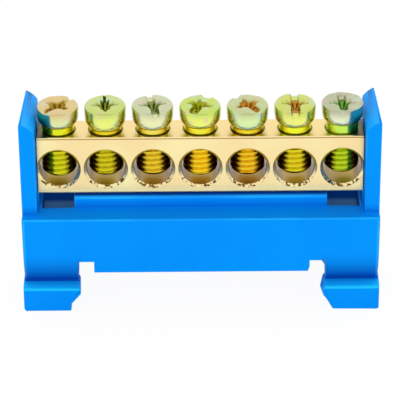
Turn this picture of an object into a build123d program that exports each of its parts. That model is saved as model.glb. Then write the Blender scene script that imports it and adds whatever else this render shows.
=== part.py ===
from build123d import *
from math import asin, degrees
import os

# Seven way brass terminal bar on a moulded base that clips to a 35 mm rail.
# Millimetres, +Z up, feet on Z = 0. The wire holes open to the front, -Y.

# Terminal bar
way_count = 7
way_pitch = 6.68
bar_length = 46.0
bar_depth = 5.6
bar_height = 8.85
bar_edge_chamfer = 0.28
wire_bore_radius = 2.75
wire_bore_chamfer = 0.39
wire_bore_rise = 3.94
tapped_radius = 2.5

# Moulded base, the wall that carries the bar
base_depth = 14.0
wall_half = 25.3
ledge_z = 15.1
mould_radius = 0.3
rail_seat_z = 6.45
rail_seat_left = 15.25
rail_seat_right = 15.45
rail_seat_corner_run = 0.25
rail_seat_corner_rise = 0.75

# Moulded base, legs that roll back above the feet
notch_top_z = 8.2
leg_inner_left = 17.45
leg_inner_right = 17.65
leg_splay = 0.15
leg_recess_inner = 17.3
leg_recess_depth = 2.2
leg_recess_top_z = 9.6
leg_recess_root_radius = 0.25
leg_relief_inner = 16.0
leg_relief_outer = 18.5
leg_relief_half = 3.1

# Moulded base, feet with their rail hooks
foot_height = 3.8
foot_half = 25.5
foot_corner_radius = 0.5
foot_plan_radius = 0.5
left_foot_inner = 18.7
left_hook_lead_z = 1.1
left_hook_low_z = 2.8
left_hook_high_z = 3.4
left_hook_tip = 17.25
left_hook_back = 17.4
left_hook_root = 17.65
right_foot_inner = 18.87
right_hook_knee = 17.77
right_hook_knee_z = 2.0
right_hook_tip = 17.0
right_hook_tip_z = 2.86
right_hook_tip_y = 5.3
right_hook_front = 17.45
right_hook_back = 17.5
right_hook_root = 17.8

# Moulded base, cheeks at the bar's ends
cheek_inner = 23.15
cheek_depth = 10.84
cheek_top_z = 29.45
cheek_toe_in = 0.5
cheek_flat = 0.4
cheek_inner_drop = 1.5
cheek_bevel_bulge = 0.13
crush_rib_width = 0.8
crush_rib_offset = 1.7
crush_rib_top_gap = 1.0
crush_rib_root = 0.1

# Moulded base, seat below the bar
platform_half = 17.95
platform_depth = 6.75
platform_height = 1.73
seat_rib_depth = 3.8
seat_rib_height = 0.22
pocket_outer = 22.6
pocket_floor_z = 10.6

# Clamp screws with an M5 thread
thread_radius = 2.45
neck_radius = 2.05
neck_length = 0.6
head_radius = 2.95
head_height = 3.95
head_cone_height = 1.55
head_edge_chamfer = 0.4
tip_above_bore_floor = 1.15
tip_chamfer = 0.5
slot_width = 0.95
slot_depth = 0.85
cross_arm_width = 1.05
cross_arm_length = 3.9
cross_depth = 1.6
cross_end_run = 0.4
screw_turns = (50, 88, 100, 68, 125, 90, 92)
screw_lifts = (0.1, 0.2, 0.2, 0.1, 0.1, 0.22, 0.4)

bar_bottom_z = ledge_z + platform_height + seat_rib_height
bar_top_z = bar_bottom_z + bar_height
wire_axis_z = bar_bottom_z + wire_bore_rise
screw_tip_z = wire_axis_z - wire_bore_radius + tip_above_bore_floor
shank_length = bar_top_z - screw_tip_z
way_places = [way_pitch * (way - (way_count - 1) / 2) for way in range(way_count)]
front = base_depth / 2
overshoot = 1.0


def block(x_limits, y_limits, z_limits):
    """A box between three pairs of limits."""
    limits = (x_limits, y_limits, z_limits)
    sizes = [high - low for low, high in limits]
    middle = [(high + low) / 2 for low, high in limits]
    return Pos(*middle) * Box(*sizes)


def wall_outline():
    """Front view of the wall and its legs, with the notches beside the rail seat."""
    return Polyline(
        (-wall_half, foot_height),
        (-leg_inner_left - leg_splay, foot_height),
        (-leg_inner_left, notch_top_z),
        (-rail_seat_left, notch_top_z),
        (-rail_seat_left, rail_seat_z),
        (rail_seat_right - rail_seat_corner_run, rail_seat_z),
        (rail_seat_right, rail_seat_z + rail_seat_corner_rise),
        (rail_seat_right, notch_top_z),
        (leg_inner_right, notch_top_z),
        (leg_inner_right + leg_splay, foot_height),
        (wall_half, foot_height),
        (wall_half, ledge_z),
        (-wall_half, ledge_z),
        close=True,
    )


def side_profile():
    """Side view of the wall, with its two long top edges rounded."""
    lower = Pos(0, (ledge_z - mould_radius) / 2) * Rectangle(base_depth, ledge_z - mould_radius)
    upper = Pos(0, ledge_z / 2) * RectangleRounded(base_depth, ledge_z, mould_radius)
    return lower + upper


def foot_plan(hook_side):
    """One foot from above: rail hooks at front and back, relieved between them."""
    corner_x = foot_half - foot_plan_radius
    corner_y = foot_plan_radius - front
    inner_and_middle = Polyline(
        *hook_side,
        (leg_relief_outer, -leg_relief_half),
        (leg_relief_outer, 0),
        (foot_half, 0),
        (foot_half, corner_y),
    )
    corner = CenterArc((corner_x, corner_y), foot_plan_radius, 270, 90)
    half = make_face(Curve(children=[inner_and_middle, corner, Line((corner_x, -front), hook_side[0])]))
    return half + mirror(half, about=Plane.XZ)


def left_foot():
    """The left foot, made on the right and mirrored across."""
    profile = make_face(Polyline(
        (left_foot_inner, 0),
        (left_foot_inner, left_hook_lead_z),
        (left_hook_tip, left_hook_low_z),
        (left_hook_tip, left_hook_high_z),
        (left_hook_root, foot_height),
        (foot_half, foot_height),
        (foot_half, 0),
        close=True,
    ))
    outer_corner = profile.vertices().group_by(Axis.Y)[0].sort_by(Axis.X)[-1]
    profile = fillet(outer_corner, foot_corner_radius)
    upright = extrude(Plane.XZ * profile, amount=front, both=True)
    plan = foot_plan([(left_hook_tip, -front), (left_hook_back, -leg_relief_half)])
    return mirror(upright & extrude(plan, amount=foot_height), about=Plane.YZ)


def right_foot():
    """The right foot, whose hook comes to a point."""
    profile = make_face(Polyline(
        (right_foot_inner, 0),
        (right_hook_knee, right_hook_knee_z),
        (right_hook_tip, right_hook_tip_z),
        (right_hook_root, foot_height),
        (foot_half, foot_height),
        (foot_half, 0),
        close=True,
    ))
    upright = extrude(Plane.XZ * profile, amount=front, both=True)
    plan = foot_plan([
        (right_hook_front, -front),
        (right_hook_tip, -right_hook_tip_y),
        (right_hook_back, -leg_relief_half),
    ])
    return upright & extrude(plan, amount=foot_height)


def leg_recess():
    """The front of a leg rolls back under the wall, down to the foot's top."""
    back = front - leg_recess_depth
    root = leg_recess_root_radius
    rise = leg_recess_top_z - foot_height - root
    roll_radius = (rise ** 2 + leg_recess_depth ** 2) / (2 * leg_recess_depth)
    roll_angle = degrees(asin(rise / roll_radius))
    outline = [
        CenterArc((roll_radius - front, leg_recess_top_z), roll_radius, 180, roll_angle),
        CenterArc((-back - root, foot_height + root), root, 270, 90),
        Line((-back - root, foot_height), (mould_radius - front, foot_height)),
        CenterArc((mould_radius - front, foot_height - mould_radius), mould_radius, 90, 90),
        Polyline(
            (-front, foot_height - mould_radius),
            (-front - overshoot, foot_height - mould_radius),
            (-front - overshoot, leg_recess_top_z),
            (-front, leg_recess_top_z),
        ),
    ]
    face = make_face(Plane.YZ * Curve(children=outline))
    outer = foot_half + overshoot
    return Pos(leg_recess_inner, 0, 0) * extrude(face, amount=outer - leg_recess_inner, dir=(1, 0, 0))


def cheek():
    """The right cheek: bevelled inwards along its top and toed in to the back."""
    foot_z = ledge_z - overshoot
    bevel_top = (wall_half - cheek_flat, cheek_top_z)
    bevel_foot = (cheek_inner, cheek_top_z - cheek_inner_drop)
    bevel_middle = (
        (bevel_top[0] + bevel_foot[0]) / 2 - cheek_bevel_bulge,
        (bevel_top[1] + bevel_foot[1]) / 2 + cheek_bevel_bulge,
    )
    sides = Polyline(
        bevel_foot,
        (cheek_inner, foot_z),
        (wall_half, foot_z),
        (wall_half, cheek_top_z),
        bevel_top,
    )
    face = make_face(Curve(children=[ThreePointArc(bevel_top, bevel_middle, bevel_foot), sides]))
    outer_corner = face.vertices().group_by(Axis.Y)[-1].sort_by(Axis.X)[-1]
    face = fillet(outer_corner, mould_radius)
    upright = extrude(Plane.XZ * face, amount=cheek_depth / 2, both=True)
    half = cheek_depth / 2
    plan = make_face(Polyline(
        (cheek_inner - overshoot, -half),
        (wall_half, -half),
        (wall_half - cheek_toe_in, half),
        (cheek_inner - overshoot, half),
        close=True,
    ))
    return upright & Pos(0, 0, foot_z) * extrude(plan, amount=cheek_top_z)


def crush_ribs():
    """Two low ribs on a cheek that bear on the end of the bar."""
    ribs = []
    for middle in (-crush_rib_offset, crush_rib_offset):
        y_limits = (middle - crush_rib_width / 2, middle + crush_rib_width / 2)
        z_limits = (ledge_z, bar_top_z - crush_rib_top_gap)
        ribs.append(block((bar_length / 2, cheek_inner + crush_rib_root), y_limits, z_limits))
    return ribs


def mounting_base():
    """The moulding: wall, legs and feet with rail hooks, cheeks and the bar's seat."""
    slab = extrude(make_face(Plane.XZ * wall_outline()), amount=front, both=True)
    sides = extrude(Plane.YZ * side_profile(), amount=foot_half + overshoot, both=True)
    base = slab & sides
    base += left_foot()
    base += right_foot()
    recess = leg_recess()
    relief = block(
        (leg_relief_inner, leg_relief_outer), (-leg_relief_half, leg_relief_half), (-overshoot, notch_top_z)
    )
    for tool in (recess, mirror(recess, about=Plane.XZ), relief):
        base -= tool
        base -= mirror(tool, about=Plane.YZ)
    platform_y = platform_depth / 2
    platform_z = (ledge_z, ledge_z + platform_height)
    base += block((-platform_half, platform_half), (-platform_y, platform_y), platform_z)
    rib_y = seat_rib_depth / 2
    base += block((-platform_half, platform_half), (-rib_y, rib_y), (ledge_z, bar_bottom_z))
    for piece in [cheek()] + crush_ribs():
        base += piece
        base += mirror(piece, about=Plane.YZ)
    pocket_z = (pocket_floor_z, ledge_z + overshoot)
    pocket = block((platform_half, pocket_outer), (-platform_y, platform_y), pocket_z)
    base -= pocket
    base -= mirror(pocket, about=Plane.YZ)
    return base


def wire_bore():
    """A wire hole from front to back with a chamfered mouth where the wire goes in."""
    bore = Rot(90, 0, 0) * Cylinder(wire_bore_radius, bar_depth + 2 * overshoot)
    mouth = Cone(wire_bore_radius, wire_bore_radius + wire_bore_chamfer, wire_bore_chamfer)
    return bore + Pos(0, (wire_bore_chamfer - bar_depth) / 2, 0) * Rot(90, 0, 0) * mouth


def terminal_bar():
    """The brass bar with its wire holes and the tapped holes above them."""
    bar = Box(bar_length, bar_depth, bar_height)
    bar = chamfer(bar.edges().filter_by(Axis.X), bar_edge_chamfer)
    bar = Pos(0, 0, bar_bottom_z + bar_height / 2) * bar
    bore = wire_bore()
    tapped_top = bar_top_z + overshoot
    tapped = Cylinder(tapped_radius, tapped_top - wire_axis_z)
    for place in way_places:
        bar -= Pos(place, 0, wire_axis_z) * bore
        bar -= Pos(place, 0, (tapped_top + wire_axis_z) / 2) * tapped
    return bar


def screw_recess():
    """A slot right across the head with a tapered cross in the middle."""
    slot = Pos(0, 0, head_height) * Box(2 * head_radius + overshoot, slot_width, 2 * slot_depth)
    floor_z = head_height - cross_depth
    half_top = cross_arm_length / 2
    half_floor = half_top - cross_end_run
    arm_face = make_face(Polyline(
        (-half_floor, floor_z),
        (half_floor, floor_z),
        (half_top, head_height),
        (half_top, head_height + overshoot),
        (-half_top, head_height + overshoot),
        (-half_top, head_height),
        close=True,
    ))
    arm = extrude(Plane.XZ * arm_face, amount=cross_arm_width / 2, both=True)
    return slot + arm + Rot(0, 0, 90) * arm


def clamp_screw():
    """One screw standing on its axis, with the bar's top at Z = 0."""
    outline = Polyline(
        (head_radius - head_edge_chamfer, head_height),
        (0, head_height),
        (0, -shank_length),
        (thread_radius - tip_chamfer, -shank_length),
        (thread_radius, tip_chamfer - shank_length),
        (thread_radius, -neck_length),
        (neck_radius, 0),
        (head_radius, head_cone_height),
        (head_radius, head_height - head_edge_chamfer),
        close=True,
    )
    body = revolve(make_face(Plane.XZ * outline), axis=Axis.Z)
    return body - screw_recess()


parts = {"mounting_base": mounting_base(), "terminal_bar": terminal_bar()}
screw = clamp_screw()
for way, place in enumerate(way_places):
    height = bar_top_z + screw_lifts[way]
    parts[f"clamp_screw_{way + 1}"] = Pos(place, 0, height) * Rot(0, 0, screw_turns[way]) * screw

os.makedirs("parts", exist_ok=True)
for name, shape in parts.items():
    export_step(shape, f"parts/{name}.step")
    size = shape.bounding_box().size
    print(f"{name}: {size.X:.2f} x {size.Y:.2f} x {size.Z:.2f} mm, {shape.volume:.0f} mm3")
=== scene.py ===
import math

import bmesh
import bpy
from mathutils import Matrix, Vector, noise


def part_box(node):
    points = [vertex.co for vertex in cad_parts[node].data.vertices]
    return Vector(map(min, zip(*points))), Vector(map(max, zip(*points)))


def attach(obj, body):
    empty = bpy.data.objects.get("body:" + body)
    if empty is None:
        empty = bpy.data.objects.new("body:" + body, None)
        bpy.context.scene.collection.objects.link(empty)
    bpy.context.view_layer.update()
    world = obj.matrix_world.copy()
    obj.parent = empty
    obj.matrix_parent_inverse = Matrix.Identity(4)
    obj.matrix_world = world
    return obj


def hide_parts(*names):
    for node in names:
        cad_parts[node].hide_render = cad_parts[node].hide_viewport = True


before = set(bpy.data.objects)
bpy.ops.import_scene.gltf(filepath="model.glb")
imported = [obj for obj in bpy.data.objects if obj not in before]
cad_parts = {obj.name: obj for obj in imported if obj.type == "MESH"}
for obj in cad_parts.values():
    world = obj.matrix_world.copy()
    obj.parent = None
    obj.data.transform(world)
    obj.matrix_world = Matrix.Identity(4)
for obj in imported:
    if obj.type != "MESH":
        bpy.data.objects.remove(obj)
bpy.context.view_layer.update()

mm = 0.001
barLow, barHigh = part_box("terminal_bar")
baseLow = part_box("mounting_base")[0]
screwNames = sorted(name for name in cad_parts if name.startswith("clamp_screw"))
firstScrew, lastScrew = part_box(screwNames[0])[0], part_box(screwNames[-1])[0]
wayPitch = (lastScrew.x - firstScrew.x) / (len(screwNames) - 1) / mm
mergeDistance = 0.001 * mm
flatAngle = math.radians(0.05)
print("frame loaded:", len(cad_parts), "nodes, a way every", round(wayPitch, 2), "mm")


def colour(red, green, blue):  # screen values from 0 to 255, turned into linear light
    linear = [((value / 255 + 0.055) / 1.055) ** 2.4 for value in (red, green, blue)]
    return (*linear, 1.0)


class Wire:  # one output socket, so that node maths reads as a formula
    def __init__(self, board, socket):
        self.board = board
        self.socket = socket

    def maths(self, operation, *values):  # operation of this wire and the values
        return self.board.maths(operation, self, *values)

    def __add__(self, other):
        return self.maths("ADD", other)

    def __radd__(self, other):
        return self.maths("ADD", other)

    def __sub__(self, other):
        return self.maths("SUBTRACT", other)

    def __rsub__(self, other):
        return self.board.maths("SUBTRACT", other, self)

    def __mul__(self, other):
        return self.maths("MULTIPLY", other)

    def __rmul__(self, other):
        return self.maths("MULTIPLY", other)

    def __truediv__(self, other):
        return self.maths("DIVIDE", other)

    def __gt__(self, other):
        return self.maths("GREATER_THAN", other)

    def __lt__(self, other):
        return self.maths("LESS_THAN", other)

    def __abs__(self):
        return self.maths("ABSOLUTE")

    def lesser(self, other):
        return self.maths("MINIMUM", other)

    def wrapped(self, low, high):
        return self.maths("WRAP", high, low)

    def ramped(self, low, high):  # 0 below low, 1 above high, smooth in between
        return self.board.node(
            "ShaderNodeMapRange", {"interpolation_type": "SMOOTHSTEP"}, {0: self, 1: low, 2: high}
        )


class Board:  # a node tree and the one way to add a node to it
    def __init__(self, tree):
        self.tree = tree

    def maths(self, operation, *values):
        return self.node("ShaderNodeMath", {"operation": operation}, dict(enumerate(values)))

    def node(self, kind, settings=None, inputs=None, output=0):
        made = self.tree.nodes.new(kind)
        for key, value in (settings or {}).items():
            if key == "stops":
                self.setStops(made.color_ramp, value)
            else:
                setattr(made, key, value)
        for key, value in (inputs or {}).items():
            self.feed(made.inputs[key], value)
        return Wire(self, made.outputs[output])

    def feed(self, socket, value):
        if isinstance(value, Wire):
            self.tree.links.new(value.socket, socket)
        else:
            socket.default_value = value

    def setStops(self, ramp, stops):
        while len(ramp.elements) < len(stops):
            ramp.elements.new(1.0)
        for element, (position, shade) in zip(ramp.elements, stops):
            element.position = position
            element.color = shade

    def mixed(self, share, first, second):
        return self.node("ShaderNodeMix", {"data_type": "RGBA"}, {0: share, 6: first, 7: second}, 2)

    def axes(self, vector):
        split = self.node("ShaderNodeSeparateXYZ", inputs={0: vector})
        return [Wire(self, socket) for socket in split.socket.node.outputs]


class Finish(Board):  # a material whose Principled shader takes what the board makes
    def __init__(self, name):
        self.material = bpy.data.materials.new(name)
        self.material.use_nodes = True
        super().__init__(self.material.node_tree)
        self.shader = self.tree.nodes["Principled BSDF"]
        spot = self.node("ShaderNodeTexCoord", output="Object")
        self.spot = self.node("ShaderNodeVectorMath", {"operation": "SCALE"}, {0: spot, "Scale": 1 / mm})

    def shade(self, **sockets):
        for name, value in sockets.items():
            self.feed(self.shader.inputs[name.replace("_", " ")], value)

    def cloud(self, size, detail, stretch=(1, 1, 1)):  # size in millimetres
        vector = self.node("ShaderNodeMapping", inputs={0: self.spot, "Scale": stretch})
        return self.node("ShaderNodeTexNoise", inputs={"Vector": vector, "Scale": 1 / size, "Detail": detail})

    def bump(self, height, depth, strength=1.0, under=None):  # depth in millimetres
        values = {"Height": height, "Distance": depth * mm, "Strength": strength}
        if under is not None:
            values["Normal"] = under
        return self.node("ShaderNodeBump", inputs=values)


blueMoulding = {  # places in millimetres, from the block's middle and its feet
    "body": colour(0, 144, 243),
    "deep": colour(0, 139, 240),
    # edge: painted highlight, a lighter blue for rounded edges and the cheeks' bevels
    "edge": colour(18, 170, 255),
    "shadow": colour(0, 50, 150),
    # lit: painted light on the feet's tops
    "lit": colour(20, 184, 255),
    # the pockets' colours: painted light, a pale grey-blue, low inside them, and painted shade, a darker
    # blue, near their top
    "pocket": colour(128, 184, 228),
    "pocketTopShade": colour(0, 96, 180),
    "pocketMiddleZ": (11.9, 12.7),
    "pocketX": (17.9, 22.65),
    "pocketY": 3.4,
    "pocketTopZ": 14.95,
    "rollX": 16.9,
    "rollY": 4.75,
    "rollZ": (2.9, 9.6),
    "rollShade": 0.9,
    "footTopZ": (3.4, 3.82),
    "footTopY": (3.6, 6.8),
    "ledgeZ": (15.02, 15.12),
    "ledgeShade": 0.13,
    "cornerZ": (14.9, 16.7),
    "cornerShade": 0.45,
    "platformTopZ": 16.5,
    "platformY": (2.85, 3.4),
    "underBarShade": 0.9,
    "patchSize": 14.0,
    "patchShare": (0.3, 0.7),
    "grainSize": 0.16,
    "grainDepth": 0.005,
    "sinkSize": 8.0,
    "sinkDepth": 0.04,
    "roughness": (0.44, 0.52),
    "gloss": 0.02,
    "edgeGloss": 0.1,
    "edgeWidth": 0.16,
    "endWidth": 0.4,
    "edgeSegments": 4,
    "edgeAngle": 28,
    "shortestEdge": 0.5,
    "longEdgeY": 6.6,
    "longEdgeTilt": 0.25,
    "bevelLowZ": 24.0,
    "bevelTilt": 0.3,
    "endX": 25.2,
    "endTopZ": 15.0,
    "platformEdgeZ": (16.7, 16.9),
    "platformEdgeLength": 20.0,
    "notchX": (14.0, 19.0),
    "notchZ": (6.0, 10.2),
    "smoothAngle": 30,
    "flatWeight": 100,
}


def pocketShare(aside, away, height):  # 1 inside the two blind pockets beside the bar's seat, which take painted light low down and painted shade near their top
    near, far = blueMoulding["pocketX"]
    inPocket = (aside > near) * (aside < far) * (away < blueMoulding["pocketY"])
    return inPocket * (height < blueMoulding["pocketTopZ"])


def shadeShare(aside, away, height, overFoot):  # how dark: under the roll, over the ledge, under the bar
    look = blueMoulding
    inRoll = overFoot * (height > look["footTopZ"][1]) * (1 - height.ramped(*look["rollZ"]))
    inCorner = (height > look["ledgeZ"][1]) * (1 - height.ramped(*look["cornerZ"]))
    onLedge = (height > look["ledgeZ"][0]) * (height < look["ledgeZ"][1])
    underBar = (height > look["platformTopZ"]) * (aside < look["pocketX"][0])
    underBar = underBar * (1 - away.ramped(*look["platformY"]))
    shade = inRoll * look["rollShade"] + inCorner * look["cornerShade"]
    return shade + onLedge * look["ledgeShade"] + underBar * look["underBarShade"]


def moulded(name, body, deep, gloss):
    look = blueMoulding
    finish = Finish(name)
    patch = finish.cloud(look["patchSize"], detail=2)
    grain = finish.cloud(look["grainSize"], detail=2)
    sink = finish.cloud(look["sinkSize"], detail=1)
    across, depth, height = finish.axes(finish.spot)
    aside, away = abs(across), abs(depth)
    overFoot = (aside > look["rollX"]) * (away > look["rollY"])
    footLow, footTop = look["footTopZ"]
    # painted light: the feet's tops turn a lighter blue towards their front edge
    paintedFootLight = overFoot * (height < footTop) * (height > footLow) * away.ramped(*look["footTopY"])
    plain = finish.mixed(patch.ramped(*look["patchShare"]), deep, body)
    plain = finish.mixed(paintedFootLight, plain, look["lit"])
    plain = finish.mixed(shadeShare(aside, away, height, overFoot), plain, look["shadow"])
    # painted light low in the pockets, painted shade higher up
    pocket = finish.mixed(height.ramped(*look["pocketMiddleZ"]), look["pocket"], look["pocketTopShade"])
    low, high = look["roughness"]
    finish.shade(
        Base_Color=finish.mixed(pocketShare(aside, away, height), plain, pocket),
        Roughness=low + (high - low) * grain,
        Normal=finish.bump(grain, look["grainDepth"], under=finish.bump(sink, look["sinkDepth"])),
        Specular_IOR_Level=gloss,
    )
    return finish.material


drawnBrass = {  # rises from the bar's underside, drops from its top, X from the block's middle or a bore's
    "face": colour(254, 240, 178),
    "warm": colour(252, 226, 166),
    # bore and boreDark: painted shade, a darker brass inside the bores
    "bore": colour(178, 150, 78),
    "boreDark": colour(154, 124, 58),
    "top": colour(253, 226, 158),
    # painted dark reflection of the cheeks on the bar's top at its ends
    "topEndShade": colour(120, 112, 92),
    "topEndX": (20.9, 21.9),
    # painted dark reflection towards the bores' left and right sides
    "boreSideShade": colour(112, 84, 38),
    "boreSideX": (1.375, 2.365),
    # line: painted dark reflection along the bar's top front edge
    "line": colour(176, 138, 84),
    "burr": colour(120, 88, 50),
    "burrTop": -1.6,  # from the bore's axis
    # painted highlight: a pale, less metallic band along the bar's lower edge
    "lowEdgeGlint": colour(255, 238, 172),
    "boreRadius": 2.78,
    "mouthRadius": 3.14,
    "boreRise": 3.94,
    "boreStart": 0.04,
    "topDrop": 0.05,
    "lineDrop": 0.2,
    "lineHalf": 0.05,
    "lineReach": 0.3,
    "lowEdgeRise": (0.15, 1.05),
    "lowEdgeMetallic": 0.25,
    "smudgeSize": 9.0,
    "faceSmudge": (0.35, 0.7),
    "boreSmudge": (0.35, 0.65),
    "burrSize": 0.5,
    "burrShare": (0.52, 0.58),
    "burrDepth": 0.14,
    "faceRoughness": 0.27,
    "topRoughness": 0.28,
    "boreRoughness": 0.2,
}


def brushedBrass():
    look = drawnBrass
    finish = Finish("drawnBrass")
    across, depth, height = finish.axes(finish.spot)
    fromBore = across.wrapped(-wayPitch / 2, wayPitch / 2)
    behindFront = depth - barLow.y / mm
    rise = height - barLow.z / mm
    drop = barHigh.z / mm - height
    aboveBore = rise - look["boreRise"]
    fromAxis = (fromBore * fromBore + aboveBore * aboveBore).maths("SQRT")
    inBore = (fromAxis < look["boreRadius"]) * (behindFront > look["boreStart"])
    inMouth = (fromAxis < look["mouthRadius"]) * (fromAxis > look["boreRadius"])
    onTop = drop < look["topDrop"]
    # painted dark reflection: a thin line just under the top front edge
    onPaintedDarkLine = (behindFront < look["lineReach"]) * (abs(drop - look["lineDrop"]) < look["lineHalf"])
    # painted highlight along the bar's lower edge, outside the bores
    paintedLowGlint = (1 - rise.ramped(*look["lowEdgeRise"])) * (1 - inBore)
    smudge = finish.cloud(look["smudgeSize"], detail=1)
    burr = finish.cloud(look["burrSize"], detail=1)
    burred = inMouth * (aboveBore < look["burrTop"])
    # painted dark reflection at both ends of the bar's top
    top = finish.mixed(abs(across).ramped(*look["topEndX"]), look["top"], look["topEndShade"])
    outside = finish.mixed(smudge.ramped(*look["faceSmudge"]), look["face"], look["warm"])
    outside = finish.mixed(onTop, outside, top)
    outside = finish.mixed(burred * burr.ramped(*look["burrShare"]), outside, look["burr"])
    outside = finish.mixed(onPaintedDarkLine, outside, look["line"])
    outside = finish.mixed(paintedLowGlint, outside, look["lowEdgeGlint"])
    # inside the bores: painted shade, darker still towards their sides
    inside = finish.mixed(smudge.ramped(*look["boreSmudge"]), look["bore"], look["boreDark"])
    inside = finish.mixed(abs(fromBore).ramped(*look["boreSideX"]), inside, look["boreSideShade"])
    roughness = look["faceRoughness"] + (look["topRoughness"] - look["faceRoughness"]) * onTop
    finish.shade(
        Base_Color=finish.mixed(inBore, outside, inside),
        Metallic=1 - (1 - look["lowEdgeMetallic"]) * paintedLowGlint,
        Roughness=roughness * (1 - inBore) + look["boreRoughness"] * inBore,
        Normal=finish.bump(burr * burred, look["burrDepth"]),
    )
    return finish.material


screwPlating = {  # rises from the bar's top, flankX and threadShadeX from each screw's own axis
    "crown": (
        colour(228, 202, 142),
        colour(206, 220, 124),
        colour(206, 212, 172),
        colour(204, 224, 114),
        colour(202, 210, 152),
        colour(210, 220, 114),
        colour(192, 194, 162),
    ),
    # side: plating tints, lighter than the crown's as painted light
    "side": (
        colour(226, 236, 172),
        colour(240, 250, 126),
        colour(242, 242, 184),
        colour(244, 250, 120),
        colour(222, 244, 172),
        colour(246, 248, 128),
        colour(236, 244, 204),
    ),
    # recess: plating tints darkened as painted shade
    "recess": (
        colour(176, 146, 58),
        colour(140, 150, 48),
        colour(132, 146, 76),
        colour(160, 162, 24),
        colour(196, 142, 48),
        colour(184, 136, 44),
        colour(112, 158, 66),
    ),
    # flank: painted dark reflection on the heads' left and right sides, below the crown
    "flankShade": colour(142, 150, 34),
    "flankX": (1.058, 2.705),
    "flankRise": (1.8, 3.5),
    "flankStrength": 0.8,
    "crownRise": (2.3, 3.9),
    "cheekX": (21.0, 22.0),
    "cheekShade": colour(128, 104, 96),
    "cheekStrength": 0.8,
    "collar": (
        colour(232, 236, 44),
        colour(238, 218, 44),
        colour(242, 228, 96),
        colour(242, 236, 60),
        colour(242, 218, 50),
        colour(240, 248, 50),
        colour(202, 240, 90),
    ),
    "thread": (
        colour(216, 212, 30),
        colour(214, 202, 34),
        colour(234, 202, 50),
        colour(248, 208, 34),
        colour(242, 198, 40),
        colour(228, 210, 34),
        colour(190, 210, 38),
    ),
    "lipShade": colour(74, 66, 12),
    "lipRise": (0.12, 0.26),
    "lipStrength": 0.75,
    "threadShade": colour(132, 112, 24),
    "threadShadeX": (0.735, 1.372),
    "threadStrength": 0.6,
    # slit: painted shade, a dark line in one head's slot
    "slit": colour(28, 44, 12),
    "slitX": -13.57,
    "slitHalf": 0.1,
    "slitY": (0.6, 3.2),
    "slitRise": 2.2,
    "blush": colour(232, 196, 182),
    "blushSize": 1.5,
    "blushStretch": (1, 1, 1.3),
    "blushShare": (0.55, 0.72),
    "mint": colour(196, 222, 200),
    "mintSize": 1.9,
    "mintShare": (0.52, 0.7),
    "filmStrength": 0.6,
    "dentSize": 1.3,
    "dentDepth": 0.06,
    "dentStrength": 0.6,
    "recessRadius": 2.0,
    "recessRise": (3.4, 3.9),
    "roughness": (0.2, 0.27),
}


class Plating(Finish):  # a finish that is measured from each screw's own axis and from the bar's top
    def __init__(self, name):
        super().__init__(name)
        self.across, self.depth, height = self.axes(self.spot)
        self.fromMiddle = self.across.wrapped(-wayPitch / 2, wayPitch / 2)
        self.rise = height - barHigh.z / mm

    def perWay(self, zone):  # one colour for each screw by its place along the bar
        shades = screwPlating[zone]
        ways = len(shades)
        place = (self.across / wayPitch + ways / 2) / ways
        stops = [(way / ways, shade) for way, shade in enumerate(shades)]
        ramp = self.node("ShaderNodeValToRGB", {"stops": stops}, {0: place})
        ramp.socket.node.color_ramp.interpolation = "CONSTANT"
        return ramp


def threadTint(plating):  # darker towards the sides of the thread
    film = screwPlating
    flankShade = abs(plating.fromMiddle).ramped(*film["threadShadeX"]) * film["threadStrength"]
    return plating.mixed(flankShade, plating.perWay("thread"), film["threadShade"])


def collarTint(plating):  # darker where the collar nearly meets the bar
    film = screwPlating
    underLip = (1 - plating.rise.ramped(*film["lipRise"])) * film["lipStrength"]
    return plating.mixed(underLip, plating.perWay("collar"), film["lipShade"])


def headTint(plating):  # the side, whose plating tint is lighter than the crown's as painted light; the crown with its clouds of film; the recess, its plating tint darkened as painted shade; and the slit, a line of painted shade
    film = screwPlating
    across, fromMiddle, depth, rise = plating.across, plating.fromMiddle, plating.depth, plating.rise
    mint = plating.cloud(film["mintSize"], detail=2)
    blush = plating.cloud(film["blushSize"], detail=2, stretch=film["blushStretch"])
    below = 1 - rise.ramped(*film["flankRise"])
    # painted dark reflection on the head's sides, below the crown
    flankShade = abs(fromMiddle).ramped(*film["flankX"]) * below * film["flankStrength"]
    besideCheek = abs(across).ramped(*film["cheekX"]) * below * film["cheekStrength"]
    tint = plating.mixed(flankShade, plating.perWay("side"), film["flankShade"])
    tint = plating.mixed(besideCheek, tint, film["cheekShade"])
    tint = plating.mixed(rise.ramped(*film["crownRise"]), tint, plating.perWay("crown"))
    tint = plating.mixed(blush.ramped(*film["blushShare"]) * film["filmStrength"], tint, film["blush"])
    tint = plating.mixed(mint.ramped(*film["mintShare"]) * film["filmStrength"], tint, film["mint"])
    fromAxis = (fromMiddle * fromMiddle + depth * depth).maths("SQRT")
    inRecess = (fromAxis < film["recessRadius"]) * (1 - rise.ramped(*film["recessRise"]))
    # the recess: plating tint darkened as painted shade
    tint = plating.mixed(inRecess, tint, plating.perWay("recess"))
    low, high = film["slitY"]
    # painted shade: a dark line along one head's slot
    onPaintedSlit = (abs(across - film["slitX"]) < film["slitHalf"]) * (depth > low) * (depth < high)
    return plating.mixed(onPaintedSlit * (rise > film["slitRise"]), tint, film["slit"])


def platedSteel(name, tint):  # tint is the function that colours one part of the screw
    plating = Plating(name)
    dents = plating.cloud(screwPlating["dentSize"], detail=1)
    low, high = screwPlating["roughness"]
    plating.shade(
        Base_Color=tint(plating),
        Metallic=1.0,
        Roughness=low + (high - low) * dents,
        Normal=plating.bump(dents, screwPlating["dentDepth"], screwPlating["dentStrength"]),
    )
    return plating.material


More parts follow.
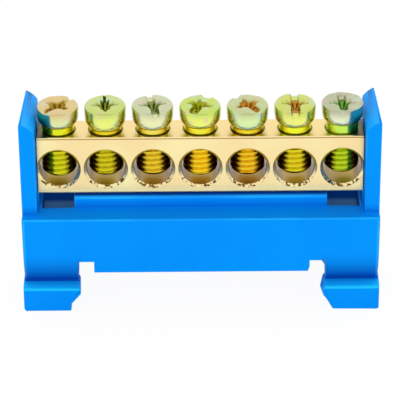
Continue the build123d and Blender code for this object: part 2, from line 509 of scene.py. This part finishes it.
def meshOf(node):  # a merged copy of a CAD node's mesh, with its flat faces in one piece
    work = bmesh.new()
    work.from_mesh(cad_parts[node].data)
    bmesh.ops.remove_doubles(work, verts=work.verts, dist=mergeDistance)
    bmesh.ops.dissolve_limit(work, angle_limit=flatAngle, verts=work.verts, edges=work.edges)
    return work


def pieceFrom(work, name, *materials):
    mesh = bpy.data.meshes.new(name)
    work.to_mesh(mesh)
    work.free()
    for material in materials:
        mesh.materials.append(material)
    piece = bpy.data.objects.new(name, mesh)
    bpy.context.scene.collection.objects.link(piece)
    return piece


def harden(piece):  # turns what the modifiers make into the piece's own mesh
    view = bpy.context.evaluated_depsgraph_get()
    mesh = bpy.data.meshes.new_from_object(piece.evaluated_get(view))
    piece.modifiers.clear()
    piece.data = mesh


def markGlossyLitFaces(work):  # the rounded edges that the CAD shape already has, and the cheeks' bevels: they take the glossier moulding, whose lighter blue is a painted highlight
    size = blueMoulding
    for face in work.faces:
        middle = face.calc_center_median()
        tilted = min(face.normal.z, abs(face.normal.y)) > size["longEdgeTilt"]
        sloping = min(face.normal.z, abs(face.normal.x)) > size["bevelTilt"]
        onLongEdge = tilted and abs(middle.y) > size["longEdgeY"] * mm
        if onLongEdge or (sloping and middle.z > size["bevelLowZ"] * mm):
            face.material_index = 1


def atNotch(point):  # the notches beside the legs keep their crisp edges
    (near, far), (low, high) = blueMoulding["notchX"], blueMoulding["notchZ"]
    return near < abs(point.co.x) / mm < far and low < point.co.z / mm < high


def edgeWeight(edge):  # share of the bevel's width: all of it up the block's ends and along the platform
    size = blueMoulding
    low, high = (point.co / mm for point in edge.verts)
    length = edge.calc_length() / mm
    if length < size["shortestEdge"] or all(map(atNotch, edge.verts)):
        return 0.0
    if edge.calc_face_angle(0) <= math.radians(size["edgeAngle"]):
        return 0.0
    atEnd = min(abs(low.x), abs(high.x)) > size["endX"] and max(low.z, high.z) < size["endTopZ"]
    upright = abs(high.z - low.z) > length / 2
    platformLow, platformHigh = size["platformEdgeZ"]
    onPlatform = platformLow < low.z < platformHigh and length > size["platformEdgeLength"]
    return 1.0 if (atEnd and upright) or onPlatform else size["edgeWidth"] / size["endWidth"]


def markEdges(work):  # the outer edges that the bevel rounds
    weight = work.edges.layers.float.new("bevel_weight_edge")
    for edge in work.edges:
        if len(edge.link_faces) == 2 and edge.is_convex:
            edge[weight] = edgeWeight(edge)


def roundEdges(piece):
    bevel = piece.modifiers.new("roundEdges", "BEVEL")
    bevel.limit_method = "WEIGHT"
    bevel.width = blueMoulding["endWidth"] * mm
    bevel.segments = blueMoulding["edgeSegments"]
    # the bevel's faces take the glossier moulding with its painted highlight
    bevel.material = 1
    bevel.use_clamp_overlap = False
    harden(piece)


def smoothShade(piece, angle):
    piece.data.shade_smooth()
    piece.data.set_sharp_from_angle(angle=math.radians(angle))


def flattenFaces(piece):  # large flat faces keep their own normal next to rounded edges
    weigh = piece.modifiers.new("flattenFaces", "WEIGHTED_NORMAL")
    weigh.mode = "FACE_AREA"
    weigh.weight = blueMoulding["flatWeight"]
    weigh.keep_sharp = True
    harden(piece)


def mouldingPiece():
    work = meshOf("mounting_base")
    markGlossyLitFaces(work)
    markEdges(work)
    look = blueMoulding
    plain = moulded("blueMoulding", look["body"], look["deep"], look["gloss"])
    # real gloss plus a painted highlight: a lighter blue on edges and bevels
    glossyAndLit = moulded("blueMouldingLitEdge", look["edge"], look["body"], look["edgeGloss"])
    piece = pieceFrom(work, "mouldedBase", plain, glossyAndLit)
    roundEdges(piece)
    smoothShade(piece, look["smoothAngle"])
    flattenFaces(piece)
    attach(piece, "block")
    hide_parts("mounting_base")
    print("moulded base:", len(piece.data.polygons), "faces")


rolledThread = {
    "startInNeck": 0.12,
    "pitch": 0.8,
    "crestRadius": 2.45,
    "rootRadius": 2.16,
    "crestShare": 0.6,
    "runOut": 0.25,
    "tipChamfer": 0.5,
    "startStep": 0.37,
    "sides": 56,
    "rowsPerTurn": 14,
    "seamDistance": 0.0008,
}


def threadTree():  # a grid of rows along the screw and columns round it, bent into a ridged shank
    tree = bpy.data.node_groups.new("rolledThread", "GeometryNodeTree")
    kinds = {"Place": "Vector", "Finish": "Material", "Sides": "Int", "Rows": "Int"}
    for name in ("Length", "Pitch", "Crest Radius", "Root Radius", "Run Out", "Tip Chamfer", "Start"):
        kinds[name] = "Float"
    for name, kind in kinds.items():
        tree.interface.new_socket(name, in_out="INPUT", socket_type="NodeSocket" + kind)
    tree.interface.new_socket("Thread", in_out="OUTPUT", socket_type="NodeSocketGeometry")
    board = Board(tree)
    given = tree.nodes.new("NodeGroupInput")
    size = {name: Wire(board, given.outputs[name]) for name in kinds}
    columns, lastRow = size["Sides"] + 1, size["Rows"] - 1
    grid = board.node(
        "GeometryNodeMeshGrid",
        inputs={"Size X": 1.0, "Size Y": lastRow, "Vertices X": columns, "Vertices Y": size["Rows"]},
    )
    around, along, _ = board.axes(board.node("GeometryNodeInputPosition"))
    share = around + 0.5
    row = along + lastRow / 2
    depth = (row - 1).maths("MAXIMUM", 0).lesser(lastRow - 2) / (lastRow - 2) * size["Length"]
    swing = abs((depth / size["Pitch"] + share + size["Start"]).wrapped(0, 1) * 2 - 1)
    ridge = swing.ramped(0.0, rolledThread["crestShare"]) * (depth / size["Run Out"]).lesser(1)
    radius = size["Root Radius"] + (size["Crest Radius"] - size["Root Radius"]) * ridge
    fromTip = ((size["Length"] - depth) / size["Tip Chamfer"]).lesser(1)
    radius = radius.lesser(size["Crest Radius"] - size["Tip Chamfer"] * (1 - fromTip))
    radius = radius * (row > 0.5) * (row < lastRow - 0.5)
    turn = share * math.tau
    spot = board.node(
        "ShaderNodeCombineXYZ",
        inputs={0: turn.maths("COSINE") * radius, 1: turn.maths("SINE") * radius, 2: 0 - depth},
    )
    placed = board.node("ShaderNodeVectorMath", {"operation": "ADD"}, {0: spot, 1: size["Place"]})
    shaped = board.node("GeometryNodeSetPosition", inputs={"Geometry": grid, "Position": placed})
    seam = rolledThread["seamDistance"] * mm
    closed = board.node("GeometryNodeMergeByDistance", inputs={"Geometry": shaped, "Distance": seam})
    whole = board.node("GeometryNodeRealizeInstances", inputs={"Geometry": closed})
    finished = board.node("GeometryNodeSetMaterial", inputs={"Geometry": whole, "Material": size["Finish"]})
    tree.links.new(finished.socket, tree.nodes.new("NodeGroupOutput").inputs[0])
    return tree


def threadMesh(tree, values):
    host = bpy.data.objects.new("threadBlank", bpy.data.meshes.new("threadBlank"))
    bpy.context.scene.collection.objects.link(host)
    modifier = host.modifiers.new("rolledThread", "NODES")
    modifier.node_group = tree
    for item in tree.interface.items_tree:
        if item.in_out == "INPUT":
            modifier[item.identifier] = values[item.name]
    harden(host)
    mesh = host.data
    bpy.data.objects.remove(host)
    return mesh


screwHead = {  # rimRadius, drop, lips, slotSide, turns and rimShare hold one entry for each screw
    "radius": 2.94,
    "height": 3.94,
    "solidHeight": 3.95,  # of the head in the CAD shape
    "rimRings": 8,
    "rimRadius": (0.45, 0.6, 0.6, 0.65, 0.6, 0.6, 0.25),
    "drop": (0.0, 0.0, 0.0, 0.0, 0.0, 0.0, 0.15),
    "cup": ((2.94, 2.85), (2.93, 2.4), (2.9, 2.0), (2.82, 1.6), (2.7, 1.3), (2.53, 1.05), (2.36, 0.9)),
    "lips": (1.1, 0.55, 0.75, 1.0, 0.75, 0.92, 1.0),
    "collar": ((2.34, -0.06), (2.28, 0.24), (2.22, 0.2), (2.06, 0.14)),  # the first height is from the lip
    "collarFoot": 0.05,
    "collarSlope": 0.03,
    "neckRadius": 2.46,
    "neckLength": 0.45,
    "sides": 112,
    "crownRings": 30,
    "rowHeight": 0.09,
    "lumpSize": 1.3,
    "lumpStep": 5,
    "lumpShift": 0.5,
    "lumpDepth": 0.1,
    "lumpFoot": (2.2, 3.4),
    "slotSide": ((0.3, 0.66), (0.08, 0.22), (0.34, 0.6), (0.5, 0.9), (0.4, 0.75), (0.42, 0.66), (0.3, 0.66)),
    "slotDepth": 0.85,
    "slotEnd": (1.9, 2.6),
    "armSide": (0.1, 0.85),
    "armEnd": (0.6, 2.25),
    "crossDepth": 1.45,
    "funnel": (0.1, 1.5),
    "turns": (50, 93, 100, 68, 125, 90, 92),
    "rimShare": ((0.8, 0.5), (0.4, 0.0), (0.75, 1.1), (0.75, 0.6), (0.75, 0.5), (0.75, 1.4), (0.0, 0.2)),
    "smoothAngle": 42,
}


def eased(value, low, high):  # 0 below low, 1 above high, smooth in between
    share = min(max((value - low) / (high - low), 0.0), 1.0)
    return share * share * (3 - 2 * share)


def recessDepth(along, across, slotSide, rimShares):  # soft slot with a soft cross and funnel in its middle
    size = screwHead
    rimShare = rimShares[0] if along > 0 else rimShares[1]  # what is left of the slot at the rim
    along, across = abs(along), abs(across)
    endShare = 1 + (rimShare - 1) * eased(along, *size["slotEnd"])
    deepest = size["slotDepth"] * (1 - eased(across, *slotSide)) * endShare
    for run, side in ((along, across), (across, along)):
        share = (1 - eased(side, *size["armSide"])) * (1 - eased(run, *size["armEnd"]))
        deepest = max(deepest, size["crossDepth"] * share)
    return max(deepest, size["crossDepth"] * (1 - eased(math.hypot(along, across), *size["funnel"])))


def rowsAlong(points):  # the corners of a line and places between them, a row height apart
    rows = []
    for (radius, height), (nextRadius, nextHeight) in zip(points, points[1:]):
        count = max(1, round(math.hypot(nextRadius - radius, nextHeight - height) / screwHead["rowHeight"]))
        for step in range(1, count + 1):
            share = step / count
            rows.append((radius + (nextRadius - radius) * share, height + (nextHeight - height) * share))
    return rows


def headRows(rimRadius, top, lip, lift):  # (radius, height) of the crown, rim and cup, then to the thread
    size = screwHead
    flat = size["radius"] - rimRadius
    rimFoot = top - rimRadius
    head = [(flat * ring / size["crownRings"], top) for ring in range(1, size["crownRings"] + 1)]
    for ring in range(1, size["rimRings"] + 1):
        turn = math.radians(90 * ring / size["rimRings"])
        head.append((flat + rimRadius * math.sin(turn), rimFoot + rimRadius * math.cos(turn)))
    cupTop, cupFoot = size["cup"][0][1], size["cup"][-1][1]
    share = (cupTop - lip) / (cupTop - cupFoot)
    cup = [(radius, cupTop - (cupTop - height) * share) for radius, height in size["cup"]]
    head += rowsAlong([head[-1], *cup])
    (lipRadius, lipStep), *flange = size["collar"]
    collar = [head[-1], (lipRadius, lip + lipStep)]
    collar += [(radius, height - lift) for radius, height in flange]
    foot, neck = -lift - size["collarFoot"], size["neckRadius"]
    collar += [(flange[-1][0], foot), (neck, foot + size["collarSlope"]), (neck, -size["neckLength"])]
    return head, rowsAlong(collar)


def addHead(work, middle, number):
    size = screwHead
    sides = size["sides"]
    top = size["height"] - size["drop"][number - 1]
    turn = math.radians(size["turns"][number - 1])
    slotSide, rimShares, rimRadius, lip = (
        size[key][number - 1] for key in ("slotSide", "rimShare", "rimRadius", "lips")
    )
    lift = (middle.z - barHigh.z) / mm  # how far the screw is turned out of the bar at rest
    head, collar = headRows(rimRadius, top, lip, lift)
    rows = []
    for radius, height in head + collar:
        row = []
        for side in range(sides):
            angle = math.tau * side / sides
            along = radius * math.cos(angle - turn)
            across = radius * math.sin(angle - turn)
            x, y = radius * math.cos(angle), radius * math.sin(angle)
            lump = noise.noise(Vector((x, y, number * size["lumpStep"])) / size["lumpSize"])
            worn = max(lump + size["lumpShift"], 0) * size["lumpDepth"] * eased(height, *size["lumpFoot"])
            low = min(height - worn, top - recessDepth(along, across, slotSide, rimShares))
            place = Vector((x, y, low)) * mm
            row.append(work.verts.new(middle + place))
        rows.append(row)
    crown = work.verts.new(middle + Vector((0, 0, top - recessDepth(0, 0, slotSide, rimShares))) * mm)
    for side in range(sides):
        following = (side + 1) % sides
        work.faces.new((crown, rows[0][side], rows[0][following])).material_index = 2
        for step, (upper, lower) in enumerate(zip(rows, rows[1:]), start=1):
            face = work.faces.new((upper[side], lower[side], lower[following], upper[following]))
            face.material_index = 2 if step < len(head) else 1
    work.faces.new(reversed(rows[-1])).material_index = 1


def screwPiece(number, name, tree, threadFilm, collarFilm, headFilm):
    low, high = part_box(name)
    middle = Vector(((low.x + high.x) / 2, (low.y + high.y) / 2, high.z - screwHead["solidHeight"] * mm))
    threadTop = middle.z - (screwHead["neckLength"] - rolledThread["startInNeck"]) * mm
    length = threadTop - low.z
    turns = length / mm / rolledThread["pitch"]
    thread = threadMesh(
        tree,
        {
            "Place": Vector((middle.x, middle.y, threadTop)),
            "Finish": threadFilm,
            "Sides": rolledThread["sides"],
            "Rows": round(turns * rolledThread["rowsPerTurn"]),
            "Length": length,
            "Pitch": rolledThread["pitch"] * mm,
            "Crest Radius": rolledThread["crestRadius"] * mm,
            "Root Radius": rolledThread["rootRadius"] * mm,
            "Run Out": rolledThread["runOut"] * mm,
            "Tip Chamfer": rolledThread["tipChamfer"] * mm,
            "Start": number * rolledThread["startStep"],
        },
    )
    work = bmesh.new()
    work.from_mesh(thread)
    for face in work.faces:
        face.material_index = 0
    addHead(work, middle, number)
    bmesh.ops.remove_doubles(work, verts=work.verts, dist=mergeDistance)
    bmesh.ops.recalc_face_normals(work, faces=work.faces)
    piece = pieceFrom(work, f"platedScrew{number}", threadFilm, collarFilm, headFilm)
    smoothShade(piece, screwHead["smoothAngle"])
    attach(piece, f"screw_{number}")
    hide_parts(name)
    return len(piece.data.polygons)


studio = {
    "camera": (-0.1, -319.8, 196.64),
    "aim": (-0.1, -2.75, 15.8),
    "lens": 230.94,
    "sensor": 36.0,
    "nearClip": 0.01,
    "roll": -0.45,
    "worldLight": 0.85,
    "roomLight": 0.8,
    "roomDepth": (0.55, 0.85),
    "roomHeight": (-0.05, 0.07),
    "frontLight": {"at": (-60, -720, 395), "size": (900, 560), "power": 2.6},
    "topLight": {"at": (60, 260, 620), "size": (500, 400), "power": 1.0},
    "floorGrey": colour(225, 225, 225),
    "floorWhite": colour(250, 250, 250),
    "floorRoughness": 0.9,
    "floorGlow": 0.94,
    "floorSize": 3.0,
    "floorDrop": 0.02,
}


def aim(holder, place, roll=0.0):  # puts a lamp or the camera at its place, turned to the block's middle
    sight = Vector(studio["aim"]) * mm - place
    turn = sight.to_track_quat("-Z", "Y").to_matrix() @ Matrix.Rotation(math.radians(roll), 3, "Z")
    holder.matrix_world = Matrix.Translation(place) @ turn.to_4x4()


def addCamera():
    camera = bpy.data.objects.new("camera", bpy.data.cameras.new("camera"))
    bpy.context.scene.collection.objects.link(camera)
    aim(camera, Vector(studio["camera"]) * mm, studio["roll"])
    camera.data.lens = studio["lens"]
    camera.data.sensor_width = studio["sensor"]
    camera.data.clip_start = studio["nearClip"]
    bpy.context.scene.camera = camera


def addLight(name, light):
    lamp = bpy.data.lights.new(name, "AREA")
    lamp.shape = "RECTANGLE"
    lamp.size = light["size"][0] * mm
    lamp.size_y = light["size"][1] * mm
    lamp.energy = light["power"]
    holder = bpy.data.objects.new(name, lamp)
    holder.visible_glossy = False
    bpy.context.scene.collection.objects.link(holder)
    aim(holder, Vector(light["at"]) * mm)


def shownRays(board):  # 1 where the camera sees a surface itself, or in metal or glass
    rays = board.node("ShaderNodeLightPath").socket.node.outputs
    seen = [Wire(board, rays[name]) for name in ("Is Camera Ray", "Is Glossy Ray", "Is Transmission Ray")]
    return (seen[0] + seen[1] + seen[2]).lesser(1)


def addWorld():  # white behind the block, a darker room behind the camera for what metal shows
    world = bpy.data.worlds.new("studio")
    world.use_nodes = True
    bpy.context.scene.world = world
    board = Board(world.node_tree)
    rays = board.node("ShaderNodeLightPath").socket.node.outputs
    seen = Wire(board, rays["Is Camera Ray"])
    shown = shownRays(board)
    direction = board.node("ShaderNodeTexCoord", output="Generated")
    _, depth, height = board.axes(direction)
    inRoom = (0 - depth).ramped(*studio["roomDepth"]) * height.ramped(*studio["roomHeight"])
    mirrored = 1 - (1 - studio["roomLight"]) * inRoom * (1 - seen)
    background = world.node_tree.nodes["Background"]
    background.inputs["Color"].default_value = (1, 1, 1, 1)
    board.feed(background.inputs["Strength"], studio["worldLight"] * (1 - shown) + mirrored * shown)


def addFloor():
    finish = Finish("paleFloor")
    shown = shownRays(finish)
    paint = finish.mixed(shown, studio["floorGrey"], studio["floorWhite"])
    finish.shade(Base_Color=paint, Roughness=studio["floorRoughness"], Specular_IOR_Level=0.0)
    glow = finish.node("ShaderNodeEmission", inputs={"Color": (1, 1, 1, 1), "Strength": 1.0})
    lit = Wire(finish, finish.shader.outputs[0])
    blend = finish.node("ShaderNodeMixShader", inputs={0: shown * studio["floorGlow"], 1: lit, 2: glow})
    finish.feed(finish.tree.nodes["Material Output"].inputs["Surface"], blend)
    work = bmesh.new()
    bmesh.ops.create_grid(work, x_segments=1, y_segments=1, size=studio["floorSize"] / 2)
    bmesh.ops.translate(work, verts=work.verts, vec=(0, 0, baseLow.z - studio["floorDrop"] * mm))
    floor = pieceFrom(work, "floor", finish.material)


addCamera()
addLight("frontLight", studio["frontLight"])
addLight("topLight", studio["topLight"])
addWorld()
addFloor()
print("studio: camera, lights and floor")

mouldingPiece()

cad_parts["terminal_bar"].data.materials.clear()
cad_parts["terminal_bar"].data.materials.append(brushedBrass())
print("terminal bar: brushed brass")

threadFilm = platedSteel("threadPlating", threadTint)
collarFilm = platedSteel("collarPlating", collarTint)
headFilm = platedSteel("headPlating", headTint)
threadShape = threadTree()
faces = 0
for number, name in enumerate(screwNames, start=1):
    faces += screwPiece(number, name, threadShape, threadFilm, collarFilm, headFilm)
print("clamp screws:", len(screwNames), "with", faces, "faces in all")

bpy.context.scene.view_settings.view_transform = "Standard"
